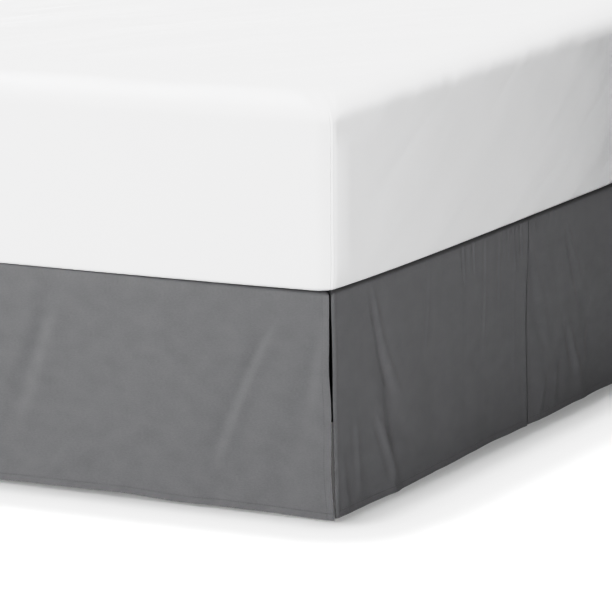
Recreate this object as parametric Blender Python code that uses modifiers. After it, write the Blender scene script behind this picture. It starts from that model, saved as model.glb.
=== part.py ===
"""Tailored bed skirt on a queen bed: three pleated drops and a deck on a base, under a mattress.

Metres, +Z up. The origin is on the floor under the middle of the bed, flared hems included.
The foot end faces -Y and the head end +Y. Each drop is modelled along its own X, with the
outside of the bed at -Y, and is then turned to its side of the bed.
"""

from collections import namedtuple
from math import cos, pi, radians, sin, sqrt

import bmesh
import bpy

# The bed. A queen mattress is 60 x 80 inches.
BED_WIDTH = 1.524
BED_LENGTH = 2.032
BED_SHIFT = 0.001           # toward the head, so that the flared foot hem is centred too
TOUCH = 0.0003              # air left between pieces that rest on each other

# The base and its legs.
BASE_TOP = 0.378
BASE_HEIGHT = 0.222
BASE_CORNER = 0.045
BASE_TOP_EDGE = 0.028
BASE_BOTTOM_EDGE = 0.008
LEG_RADIUS_TOP = 0.032
LEG_RADIUS_FOOT = 0.024
LEG_SIDES = 20
LEG_INSET = 0.135
LEG_ROWS = 3

# The mattress in its fitted sheet.
MATTRESS_HEIGHT = 0.334
MATTRESS_CROWN = 0.010
MATTRESS_TOP_EDGE = 0.055
MATTRESS_BOTTOM_EDGE = 0.008
MATTRESS_CORNER = 0.028
MATTRESS_SETBACK = 0.005    # of its corners, inside the bed size
MATTRESS_BOW = 0.014        # of its sides, past that
CORNER_POINTS = 5
SIDE_POINTS = 7

# The cloth and how it hangs off the base.
CLOTH = 0.002
CLOTH_INSET = 0.004         # from the mattress outline to the middle of the hanging cloth
BASE_INSET = 0.011          # from the middle of the hanging cloth to the base's face
HEM_CLEARANCE = 0.003
TURN_RADIUS = 0.014         # of the top edge, where it turns in over the base
TURN_STEPS = 2
TURN_CRISP = 0.25           # 1 for a round turn, less for a squarer one
SEAM_RUN = 0.005            # flat stretch between that turn and the deck seam
SEAM_GAP = 0.0012
MITRE_REACH = 0.060
SWAY_POWER = 1.3            # the cloth swings out faster toward its hem
ASIDE_POWER = 3             # and sideways only near it

# The centre pleat: three layers a little apart.
LAYER_STEP = 0.0032
FOLD_RADIUS = LAYER_STEP / 2
FOLD_STEPS = 3
PLEAT_DEPTH = 0.075
PLEAT_SLIT = 0.0060
PLEAT_SETBACK = 0.0010      # the right front edge lies this much behind the left one
PLEAT_EASE = 0.060

# The side hems curl in at each slit.
CURL_STEPS = 3
COLUMN_PITCH = 0.028

HANGING_HEIGHTS = (0.0, 0.075, 0.150, 0.225, 0.295, 0.343)

Ring = namedtuple("Ring", "z inset corner")
Row = namedtuple("Row", "height angle run")
Seam = namedtuple("Seam", "along out")
Hem = namedtuple("Hem", "along out aside lift")
Fold = namedtuple("Fold", "high_at low_at high low width depth")
Edge = namedtuple("Edge", "at radius sweep mitred")
Drop = namedtuple("Drop", "name location turn left right seam hem folds")

Finish = namedtuple("Finish", "colour roughness")
SKIRT_FINISH = Finish((0.105, 0.106, 0.112), 0.85)
SHEET_FINISH = Finish((0.82, 0.82, 0.82), 0.80)
BASE_FINISH = Finish((0.05, 0.05, 0.052), 0.85)
LEG_FINISH = Finish((0.05, 0.05, 0.05), 0.55)

HALF_WIDTH = BED_WIDTH / 2 - CLOTH_INSET
HALF_LENGTH = BED_LENGTH / 2 - CLOTH_INSET
TURN_HEIGHT = BASE_TOP + TOUCH + CLOTH / 2 - TURN_RADIUS

FOOT_DROP = Drop(
    name="foot_drop",
    location=(0.0, -HALF_LENGTH, 0.0),
    turn=0.0,
    left=Edge(at=-HALF_WIDTH + 0.0085, radius=0.009, sweep=50.0, mitred=True),
    right=Edge(at=HALF_WIDTH - 0.0085, radius=0.009, sweep=50.0, mitred=True),
    seam=(
        Seam(-0.758, 0.000),
        Seam(-0.690, 0.004),
        Seam(-0.600, 0.008),
        Seam(-0.500, 0.011),
        Seam(-0.300, 0.013),
        Seam(0.000, 0.013),
        Seam(0.400, 0.013),
        Seam(0.620, 0.009),
        Seam(0.758, 0.000),
    ),
    hem=(
        Hem(along=-0.758, out=0.0055, aside=0.001, lift=0.000),
        Hem(along=-0.560, out=0.009, aside=0.002, lift=0.000),
        Hem(along=-0.360, out=0.009, aside=0.002, lift=0.000),
        Hem(along=-0.230, out=0.005, aside=0.002, lift=0.0050),
        Hem(along=-0.140, out=0.002, aside=0.000, lift=0.0050),
        Hem(along=-0.060, out=0.004, aside=0.007, lift=0.0040),
        Hem(along=0.060, out=0.006, aside=0.008, lift=0.0045),
        Hem(along=0.300, out=0.002, aside=0.001, lift=0.0045),
        Hem(along=0.560, out=0.012, aside=0.000, lift=0.0040),
        Hem(along=0.758, out=0.008, aside=-0.001, lift=0.001),
    ),
    folds=(
        Fold(high_at=-0.603, low_at=-0.530, high=0.340, low=0.120, width=0.034, depth=-0.004),
        Fold(high_at=-0.600, low_at=-0.545, high=0.130, low=0.000, width=0.030, depth=0.004),
        Fold(high_at=-0.420, low_at=-0.370, high=0.300, low=0.020, width=0.070, depth=-0.003),
        Fold(high_at=0.060, low_at=0.110, high=0.350, low=0.160, width=0.034, depth=0.003),
        Fold(high_at=0.200, low_at=0.262, high=0.280, low=0.110, width=0.036, depth=-0.004),
        Fold(high_at=0.190, low_at=0.245, high=0.120, low=0.000, width=0.036, depth=0.003),
        Fold(high_at=0.480, low_at=0.430, high=0.340, low=0.030, width=0.045, depth=0.004),
        Fold(high_at=0.640, low_at=0.600, high=0.320, low=0.000, width=0.040, depth=-0.004),
    ),
)

LEFT_DROP = Drop(
    name="left_drop",
    location=(-HALF_WIDTH, 0.0, 0.0),
    turn=-90.0,
    left=Edge(at=-HALF_LENGTH + 0.006, radius=0.008, sweep=50.0, mitred=False),
    right=Edge(at=HALF_LENGTH - 0.001, radius=0.012, sweep=16.0, mitred=True),
    seam=(
        Seam(-1.012, 0.000),
        Seam(-0.500, 0.004),
        Seam(0.000, 0.004),
        Seam(0.380, 0.002),
        Seam(0.600, 0.004),
        Seam(0.740, 0.0060),
        Seam(0.900, 0.0050),
        Seam(1.012, 0.0035),
    ),
    hem=(
        Hem(along=-1.012, out=0.006, aside=0.000, lift=0.001),
        Hem(along=-0.700, out=0.014, aside=0.001, lift=0.002),
        Hem(along=-0.350, out=0.004, aside=0.002, lift=0.000),
        Hem(along=-0.060, out=0.009, aside=-0.001, lift=0.001),
        Hem(along=0.060, out=0.008, aside=0.001, lift=0.001),
        Hem(along=0.330, out=0.002, aside=0.000, lift=0.001),
        Hem(along=0.450, out=0.003, aside=0.000, lift=0.0045),
        Hem(along=0.620, out=0.003, aside=0.002, lift=0.0055),
        Hem(along=0.730, out=0.004, aside=0.003, lift=0.0018),
        Hem(along=0.840, out=0.004, aside=0.004, lift=0.0012),
        Hem(along=1.012, out=0.007, aside=0.0090, lift=0.000),
    ),
    folds=(
        Fold(high_at=-0.830, low_at=-0.780, high=0.330, low=0.020, width=0.045, depth=0.004),
        Fold(high_at=-0.560, low_at=-0.500, high=0.310, low=0.060, width=0.050, depth=-0.004),
        Fold(high_at=-0.300, low_at=-0.350, high=0.330, low=0.000, width=0.045, depth=0.003),
        Fold(high_at=0.270, low_at=0.215, high=0.350, low=0.080, width=0.050, depth=-0.003),
        Fold(high_at=0.516, low_at=0.425, high=0.350, low=0.090, width=0.038, depth=-0.003),
        Fold(high_at=0.560, low_at=0.470, high=0.110, low=0.000, width=0.045, depth=0.002),
        Fold(high_at=0.925, low_at=0.800, high=0.330, low=0.030, width=0.032, depth=-0.003),
        Fold(high_at=0.880, low_at=0.760, high=0.280, low=0.020, width=0.040, depth=0.002),
        Fold(high_at=1.000, low_at=0.955, high=0.330, low=0.130, width=0.022, depth=-0.002),
    ),
)

RIGHT_DROP = Drop(
    name="right_drop",
    location=(HALF_WIDTH, 0.0, 0.0),
    turn=90.0,
    left=Edge(at=-HALF_LENGTH + 0.001, radius=0.012, sweep=16.0, mitred=True),
    right=Edge(at=HALF_LENGTH - 0.006, radius=0.008, sweep=50.0, mitred=False),
    seam=(
        Seam(-1.012, 0.000),
        Seam(-0.900, 0.005),
        Seam(-0.550, 0.009),
        Seam(0.000, 0.008),
        Seam(0.500, 0.009),
        Seam(0.900, 0.004),
        Seam(1.012, 0.000),
    ),
    hem=(
        Hem(along=-1.012, out=0.009, aside=-0.009, lift=0.000),
        Hem(along=-0.760, out=0.006, aside=-0.003, lift=0.001),
        Hem(along=-0.420, out=0.014, aside=0.000, lift=0.002),
        Hem(along=-0.060, out=0.007, aside=-0.001, lift=0.000),
        Hem(along=0.060, out=0.009, aside=0.001, lift=0.000),
        Hem(along=0.380, out=0.003, aside=0.001, lift=0.001),
        Hem(along=0.740, out=0.012, aside=0.000, lift=0.002),
        Hem(along=1.012, out=0.006, aside=0.000, lift=0.001),
    ),
    folds=(
        Fold(high_at=-0.910, low_at=-0.830, high=0.330, low=0.050, width=0.036, depth=-0.004),
        Fold(high_at=-0.640, low_at=-0.560, high=0.310, low=0.000, width=0.050, depth=0.004),
        Fold(high_at=-0.300, low_at=-0.260, high=0.340, low=0.090, width=0.045, depth=-0.003),
        Fold(high_at=0.240, low_at=0.300, high=0.330, low=0.000, width=0.045, depth=0.003),
        Fold(high_at=0.520, low_at=0.470, high=0.320, low=0.060, width=0.050, depth=-0.004),
        Fold(high_at=0.860, low_at=0.810, high=0.330, low=0.000, width=0.042, depth=0.004),
    ),
)


def clear_scene():
    """Remove every object of the opened file."""
    for thing in list(bpy.data.objects):
        bpy.data.objects.remove(thing, do_unlink=True)


def finish(thing, look):
    """Give one object a plain material of its own."""
    material = bpy.data.materials.new(thing.name + "_finish")
    material.use_nodes = True
    shader = material.node_tree.nodes["Principled BSDF"]
    shader.inputs["Base Color"].default_value = (*look.colour, 1.0)
    shader.inputs["Roughness"].default_value = look.roughness
    shader.inputs["Metallic"].default_value = 0.0
    thing.data.materials.append(material)


def new_part(name, mesh_builder, collection, parent, look):
    """Make one object from a bmesh and put it under the bed's empty."""
    mesh = bpy.data.meshes.new(name)
    mesh_builder.to_mesh(mesh)
    mesh_builder.free()
    part = bpy.data.objects.new(name, mesh)
    collection.objects.link(part)
    part.parent = parent
    finish(part, look)
    return part


def smoothstep(share):
    """An S-shaped ramp from 0 to 1, clamped outside."""
    share = min(max(share, 0.0), 1.0)
    return share * share * (3 - 2 * share)


def between_rows(rows, along, column):
    """Read one named column of a table at a place between its rows."""
    if along <= rows[0].along:
        return getattr(rows[0], column)
    for first, second in zip(rows, rows[1:]):
        if along <= second.along:
            share = smoothstep((along - first.along) / (second.along - first.along))
            start = getattr(first, column)
            return start + (getattr(second, column) - start) * share
    return getattr(rows[-1], column)


def arc(centre_x, centre_depth, radius, start, end, steps):
    """Points of an arc in a drop's plan, from one angle to another in degrees."""
    points = []
    for step in range(steps + 1):
        angle = radians(start + (end - start) * step / steps)
        points.append((centre_x + radius * cos(angle), centre_depth + radius * sin(angle)))
    return points


def run(start_x, end_x, start_depth, end_depth):
    """Points strictly between two ends of a straight stretch, about one pitch apart."""
    count = max(int(round(abs(end_x - start_x) / COLUMN_PITCH)), 1)
    points = []
    for step in range(1, count):
        share = step / count
        x = start_x + (end_x - start_x) * share
        points.append((x, start_depth + (end_depth - start_depth) * share))
    return points


def pleat_plan():
    """The centre pleat seen from above: front, middle and back layers, joined by tight folds."""
    lip = FOLD_RADIUS + CLOTH / 2 + PLEAT_SLIT / 2
    middle = LAYER_STEP
    back = 2 * LAYER_STEP
    set_middle = middle + PLEAT_SETBACK
    set_back = back + PLEAT_SETBACK
    plan = arc(-lip, FOLD_RADIUS, FOLD_RADIUS, -90, 90, FOLD_STEPS)
    plan += run(-lip, -PLEAT_DEPTH, middle, middle)
    plan += arc(-PLEAT_DEPTH, middle + FOLD_RADIUS, FOLD_RADIUS, -90, -270, FOLD_STEPS)
    plan += run(-PLEAT_DEPTH, PLEAT_DEPTH, back, set_back)
    plan += arc(PLEAT_DEPTH, set_back - FOLD_RADIUS, FOLD_RADIUS, 90, -90, FOLD_STEPS)
    plan += run(PLEAT_DEPTH, lip, set_middle, set_middle)
    plan += arc(lip, set_middle - FOLD_RADIUS, FOLD_RADIUS, 90, 270, FOLD_STEPS)
    return plan


def drop_plan(drop):
    """The drop seen from above: (place along it, depth behind its front) from edge to edge."""
    left = drop.left
    right = drop.right
    left_x = left.at + left.radius * sin(radians(left.sweep))
    right_x = right.at - right.radius * sin(radians(right.sweep))
    pleat = pleat_plan()
    pleat_end = pleat[-1]
    plan = arc(left_x, left.radius, left.radius, -90 - left.sweep, -90, CURL_STEPS)
    plan += run(left_x, pleat[0][0], 0.0, 0.0)
    plan += pleat
    plan.append((PLEAT_EASE, 0.0))
    plan += run(pleat_end[0] + PLEAT_EASE, right_x, 0.0, 0.0)
    plan += arc(right_x, right.radius, right.radius, -90, -90 + right.sweep, CURL_STEPS)
    return plan


def drop_rows():
    """The drop from hem to deck seam: hanging rows, then the turn over the base."""
    rows = [Row(max(height, 0.0), 0.0, 0.0) for height in HANGING_HEIGHTS]
    for step in range(TURN_STEPS + 1):
        rows.append(Row(TURN_HEIGHT, pi / 2 * step / TURN_STEPS, 0.0))
    rows.append(Row(TURN_HEIGHT, pi / 2, SEAM_RUN))
    return rows


def fold_depth(folds, along, height):
    """How far the soft folds push the cloth out at one place."""
    total = 0.0
    for fold in folds:
        share = (height - fold.low) / (fold.high - fold.low)
        middle = fold.low_at + (fold.high_at - fold.low_at) * share
        fade = smoothstep(share * 4 + 1) * smoothstep((1 - share) * 2)
        across = (along - middle) / fold.width
        total += fold.depth * fade / (1 + across * across) ** 2
    return total


def mitre_shift(drop, along, inset):
    """Pull the turned-in edge back from the corners, where two drops meet on a diagonal."""
    shift = 0.0
    if drop.left.mitred:
        shift += inset * smoothstep(1 - (along - drop.left.at) / MITRE_REACH)
    if drop.right.mitred:
        shift -= inset * smoothstep(1 - (drop.right.at - along) / MITRE_REACH)
    return shift


def hang(drop, along, depth, row):
    """Place one point of the cloth. All layers at one place along it sway alike."""
    down = 1 - row.height / TURN_HEIGHT
    sway = down ** SWAY_POWER
    upright = max(cos(row.angle), 0.0) ** TURN_CRISP
    level = sin(row.angle) ** TURN_CRISP
    out = between_rows(drop.seam, along, "out") * upright * (1 - sway)
    out += between_rows(drop.hem, along, "out") * sway
    out += fold_depth(drop.folds, along, row.height) * upright
    aside = between_rows(drop.hem, along, "aside") * down ** ASIDE_POWER
    lift = (HEM_CLEARANCE + between_rows(drop.hem, along, "lift")) * down
    reach = TURN_RADIUS - depth
    inset = TURN_RADIUS - reach * upright + row.run
    turned_in = TURN_RADIUS * (1 - upright) + row.run
    x = along + aside + mitre_shift(drop, along, turned_in)
    z = row.height + lift + reach * level
    return x, inset - out, z


def build_drop(drop, collection, parent):
    """One cloth with its centre pleat, soft folds, curled side hems and turned-in top."""
    plan = drop_plan(drop)
    rows = drop_rows()
    sheet = bmesh.new()
    bmesh.ops.create_grid(sheet, x_segments=len(plan) - 1, y_segments=len(rows) - 1, size=1.0)
    for vertex in sheet.verts:
        column = round((vertex.co.x + 1) / 2 * (len(plan) - 1))
        level = round((vertex.co.y + 1) / 2 * (len(rows) - 1))
        along, depth = plan[column]
        vertex.co = hang(drop, along, depth, rows[level])
    for face in sheet.faces:
        face.smooth = True
    part = new_part(drop.name, sheet, collection, parent, SKIRT_FINISH)
    part.location = drop.location
    part.rotation_euler = (0.0, 0.0, radians(drop.turn))
    thicken = part.modifiers.new("cloth", "SOLIDIFY")
    thicken.thickness = CLOTH
    thicken.offset = 0.0
    thicken.use_even_offset = True
    thicken.use_quality_normals = True


def build_deck(collection, parent):
    """The flat panel on the base that holds the three drops."""
    edge = TURN_RADIUS + SEAM_RUN + SEAM_GAP
    width = 2 * (HALF_WIDTH - edge)
    foot = -HALF_LENGTH + edge
    head = HALF_LENGTH - BASE_BOTTOM_EDGE
    panel = bmesh.new()
    bmesh.ops.create_cube(panel, size=1.0)
    bmesh.ops.scale(panel, vec=(width, head - foot, CLOTH), verts=panel.verts)
    part = new_part("deck", panel, collection, parent, SKIRT_FINISH)
    part.location = (0.0, (foot + head) / 2, BASE_TOP + TOUCH + CLOTH / 2)


def edges_along(block, axis, side=None):
    """Edges of a box that run along one axis, or that bound its face on one side of Z."""
    found = []
    for edge in block.edges:
        start, end = (vertex.co for vertex in edge.verts)
        if side is None:
            if abs(end[axis] - start[axis]) > TOUCH:
                found.append(edge)
        elif start.z * side > 0 and end.z * side > 0:
            found.append(edge)
    return found


def build_base(collection, parent):
    """The box spring, with round corners and a rounded top edge."""
    foot = -HALF_LENGTH + BASE_INSET
    length = HALF_LENGTH - foot
    block = bmesh.new()
    bmesh.ops.create_cube(block, size=1.0)
    size = (2 * (HALF_WIDTH - BASE_INSET), length, BASE_HEIGHT)
    bmesh.ops.scale(block, vec=size, verts=block.verts)
    corners = edges_along(block, 2)
    bmesh.ops.bevel(block, geom=corners, offset=BASE_CORNER, segments=5, profile=0.5, affect="EDGES")
    upper = edges_along(block, 2, side=1)
    bmesh.ops.bevel(block, geom=upper, offset=BASE_TOP_EDGE, segments=5, profile=0.5, affect="EDGES")
    lower = [edge for edge in edges_along(block, 2, side=-1) if on_floor_side(edge)]
    bmesh.ops.bevel(block, geom=lower, offset=BASE_BOTTOM_EDGE, segments=2, profile=0.5, affect="EDGES")
    part = new_part("bed_base", block, collection, parent, BASE_FINISH)
    part.location = (0.0, foot + length / 2, BASE_TOP - BASE_HEIGHT / 2)


def on_floor_side(edge):
    """True for an edge in the block's bottom face."""
    return all(abs(vertex.co.z + BASE_HEIGHT / 2) < TOUCH for vertex in edge.verts)


def build_legs(collection, parent):
    """Three pairs of tapered round legs under the base."""
    height = BASE_TOP - BASE_HEIGHT - TOUCH
    far = HALF_LENGTH - LEG_INSET
    for row in range(LEG_ROWS):
        for side, label in ((-1, "left"), (1, "right")):
            leg = bmesh.new()
            bmesh.ops.create_cone(
                leg,
                cap_ends=True,
                segments=LEG_SIDES,
                radius1=LEG_RADIUS_FOOT,
                radius2=LEG_RADIUS_TOP,
                depth=height,
            )
            part = new_part(f"leg_{label}_{row + 1}", leg, collection, parent, LEG_FINISH)
            y = -far + 2 * far * row / (LEG_ROWS - 1)
            part.location = (side * (HALF_WIDTH - LEG_INSET), y, height / 2)


def mattress_rings():
    """Heights, insets and corner radii of the mattress from its underside to its crown."""
    rings = []
    for step in range(4):
        angle = pi / 2 * step / 3
        z = MATTRESS_BOTTOM_EDGE * (1 - sin(angle))
        inset = MATTRESS_BOTTOM_EDGE * (1 - cos(angle))
        rings.insert(0, Ring(z, inset, MATTRESS_CORNER))
    shoulder = MATTRESS_HEIGHT - MATTRESS_CROWN - MATTRESS_TOP_EDGE
    rings.append(Ring(shoulder / 2, 0.0, MATTRESS_CORNER))
    for step in range(6):
        angle = pi / 2 * step / 5
        inset = MATTRESS_TOP_EDGE * (1 - cos(angle))
        z = shoulder + MATTRESS_TOP_EDGE * sin(angle)
        rings.append(Ring(z, inset, MATTRESS_CORNER + inset * 0.8))
    for share in (0.35, 0.7, 1.0):
        inset = MATTRESS_TOP_EDGE + share * (BED_WIDTH / 2 - 2 * MATTRESS_TOP_EDGE) * 0.8
        z = MATTRESS_HEIGHT - MATTRESS_CROWN * (1 - share) ** 2
        rings.append(Ring(z, inset, MATTRESS_CORNER + MATTRESS_TOP_EDGE))
    return rings


def ring_outline(ring):
    """One closed outline of the mattress: round corners, and sides bowed a little."""
    half_x = BED_WIDTH / 2 - MATTRESS_SETBACK - ring.inset
    half_y = BED_LENGTH / 2 - MATTRESS_SETBACK - ring.inset
    quarter = []
    for step in range(CORNER_POINTS):
        angle = pi / 2 * step / (CORNER_POINTS - 1)
        x = half_x - ring.corner * (1 - cos(angle))
        y = half_y - ring.corner * (1 - sin(angle))
        quarter.append((x, y))
    turns = ((1, 1), (-1, 1), (-1, -1), (1, -1))
    corners = []
    for index, (sign_x, sign_y) in enumerate(turns):
        points = [(sign_x * x, sign_y * y) for x, y in quarter]
        corners.append(points if index % 2 == 0 else points[::-1])
    outline = []
    for index, points in enumerate(corners):
        outline += points
        start = points[-1]
        end = corners[(index + 1) % 4][0]
        for step in range(1, SIDE_POINTS + 1):
            share = step / (SIDE_POINTS + 1)
            bow = MATTRESS_BOW * (1 - (2 * share - 1) ** 4)
            x = start[0] + (end[0] - start[0]) * share
            y = start[1] + (end[1] - start[1]) * share
            length = sqrt((end[0] - start[0]) ** 2 + (end[1] - start[1]) ** 2)
            x += bow * (end[1] - start[1]) / length
            y -= bow * (end[0] - start[0]) / length
            outline.append((x, y))
    return outline


def build_mattress(collection, parent):
    """The filled mattress, lofted through its rings and closed above and below."""
    body = bmesh.new()
    loops = []
    for ring in mattress_rings():
        points = [body.verts.new((x, y, ring.z)) for x, y in ring_outline(ring)]
        loop = [body.edges.new((a, b)) for a, b in zip(points, points[1:] + points[:1])]
        loops.append(loop)
    for lower, upper in zip(loops, loops[1:]):
        bmesh.ops.bridge_loops(body, edges=lower + upper)
    bmesh.ops.contextual_create(body, geom=loops[0])
    bmesh.ops.contextual_create(body, geom=loops[-1])
    bmesh.ops.recalc_face_normals(body, faces=body.faces)
    for face in body.faces:
        face.smooth = True
    part = new_part("mattress", body, collection, parent, SHEET_FINISH)
    part.location = (0.0, 0.0, BASE_TOP + CLOTH + 2 * TOUCH)


def main():
    clear_scene()
    collection = bpy.data.collections.new("bed_skirt")
    bpy.context.scene.collection.children.link(collection)
    bed = bpy.data.objects.new("bed_middle", None)
    bed.location = (0.0, BED_SHIFT, 0.0)
    collection.objects.link(bed)
    build_base(collection, bed)
    build_legs(collection, bed)
    build_deck(collection, bed)
    for drop in (FOOT_DROP, LEFT_DROP, RIGHT_DROP):
        build_drop(drop, collection, bed)
    build_mattress(collection, bed)


main()
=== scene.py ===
"""Tailored bed skirt on a queen bed, dressed: cloth, fitted sheet, base, legs and a studio floor.

Metres, +Z up. The foot end faces -Y and the head end +Y. Each drop is worked out along its own
X, with the outside of the bed at -Y, and is then turned to its side of the bed.
"""
from collections import namedtuple
from math import cos, pi, radians, sin, tau

import bpy
import numpy as np
from bpy.props import FloatProperty, FloatVectorProperty, IntProperty, PointerProperty
from mathutils import Matrix, Vector, noise


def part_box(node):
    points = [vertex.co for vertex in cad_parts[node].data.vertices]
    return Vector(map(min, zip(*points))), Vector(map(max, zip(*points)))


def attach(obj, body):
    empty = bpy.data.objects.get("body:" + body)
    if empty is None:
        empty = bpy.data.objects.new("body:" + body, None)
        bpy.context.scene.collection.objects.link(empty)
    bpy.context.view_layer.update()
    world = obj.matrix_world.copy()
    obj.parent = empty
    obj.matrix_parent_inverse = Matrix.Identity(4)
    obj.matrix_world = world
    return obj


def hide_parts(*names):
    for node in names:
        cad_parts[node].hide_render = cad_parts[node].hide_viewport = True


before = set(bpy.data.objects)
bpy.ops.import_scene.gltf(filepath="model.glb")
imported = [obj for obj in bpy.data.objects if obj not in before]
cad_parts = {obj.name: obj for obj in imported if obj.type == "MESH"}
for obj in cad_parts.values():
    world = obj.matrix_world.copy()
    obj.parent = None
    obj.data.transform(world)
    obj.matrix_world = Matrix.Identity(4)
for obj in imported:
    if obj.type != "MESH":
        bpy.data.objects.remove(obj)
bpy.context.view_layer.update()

bl_info = {
    "name": "Tailored Bed Skirt",
    "version": (1, 0, 0),
    "blender": (4, 5, 0),
    "location": "View3D > Sidebar > Bed Skirt",
    "description": "Builds a tailored bed skirt with its bed, and a plain studio round it",
    "category": "Object",
}

# The bed, as its solids have it.
BED_WIDTH = 1.524
BED_LENGTH = 2.032
BED_SHIFT = 0.001
TOUCH = 0.0003
BASE_TOP = 0.378
CLOTH_PLANE = 0.004         # from the mattress outline to the middle of the hanging cloth
SOLID_CLOTH = 0.002
HEM_CLEARANCE = 0.003
TURN_RADIUS = 0.014
SEAM_RUN = 0.005
MITRE_REACH = 0.060
SWAY_POWER = 1.3
ASIDE_POWER = 3
LAYER_STEP = 0.0028
FOLD_RADIUS = LAYER_STEP / 2
PLEAT_DEPTH = 0.075
PLEAT_SLIT = 0.0060
PLEAT_SETBACK = 0.0010
PLEAT_EASE = 0.060
MATTRESS_HEIGHT = 0.334
MATTRESS_CROWN = 0.010
MATTRESS_TOP_EDGE = 0.055
MATTRESS_BOTTOM_EDGE = 0.008
MATTRESS_CORNER = 0.028
MATTRESS_SETBACK = 0.005    # of its corners, inside the bed size
MATTRESS_BOW = 0.014
MATTRESS_SEAM_SHIFT = 0.0065
CORNER_OPENING = 0.8        # how much the corners widen for each metre drawn in at the top
CORNER_FOLD = 0.040         # from a corner seam to the soft fold beside it
DECK_GAP = 0.0012           # from the deck to the turned-in edge of a drop
DECK_HEAD_EDGE = 0.008
DECK_GRID = (61, 81)
BASE_CORNER = 0.045
BASE_TOP_EDGE = 0.028
BASE_LOW_EDGE = 0.006
TAPE_FROM_UNDER = 0.010     # from the underside of the base to its lower tape
TAPE_FROM_TOP = 0.030
TAPE_RISE = 0.0009
TAPE_EDGE = 0.0008
DUST_COVER_HEM = 0.030
DUST_COVER_EDGE = 0.032
LEG_RADIUS = (0.024, 0.032)             # at the foot and at the top
LEG_FOOT_GROOVE = (0.006, 0.0075)       # its edges, up from the floor
LEG_TOP_GROOVE = (0.012, 0.0105)        # its edges, down from the base
LEG_GROOVE_DEPTH = 0.0012
LEG_EDGE = 0.0015

HALF_WIDTH = BED_WIDTH / 2 - CLOTH_PLANE
HALF_LENGTH = BED_LENGTH / 2 - CLOTH_PLANE
TURN_HEIGHT = BASE_TOP + TOUCH + SOLID_CLOTH / 2 - TURN_RADIUS
MATTRESS_FLOOR = BASE_TOP + SOLID_CLOTH + 2 * TOUCH
SHOULDER = MATTRESS_HEIGHT - MATTRESS_CROWN - MATTRESS_TOP_EDGE

# How finely the cloth is laid out.
FOLD_STEPS = 8
CURL_STEPS = 8
TURN_STEPS = 9
SIDE_HEM = 0.012
HEM_COLUMNS = (0.016, 0.0016)
HEM_HEIGHTS = (0.0, 0.0015, 0.004, 0.0065, 0.009, 0.0105, 0.0118, 0.0131, 0.0146, 0.017)

Seam = namedtuple("Seam", "along out")
Hem = namedtuple("Hem", "along out aside lift")
Fold = namedtuple("Fold", "high_at low_at high low bow left right depth")
Crease = namedtuple("Crease", "high_at low_at high low bow thin wide rise")
Pucker = namedtuple("Pucker", "at lean width reach depth")
Nudge = namedtuple("Nudge", "at height wide tall aside out")
Edge = namedtuple("Edge", "at radius sweep mitred")
Drop = namedtuple(
    "Drop",
    "name location turn flat crisp fine left right seam hem folds creases puckers nudges")
Ring = namedtuple("Ring", "z inset corner tilt")
Light = namedtuple("Light", "name kind place aim size power spread")
Bell = namedtuple("Bell", "at width rise")
Waver = namedtuple("Waver", "per_along per_height seed size")


def table(kind, *rows):
    """Rows of one kind, each number under that kind's column name."""
    return tuple(kind(*row) for row in rows)


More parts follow.
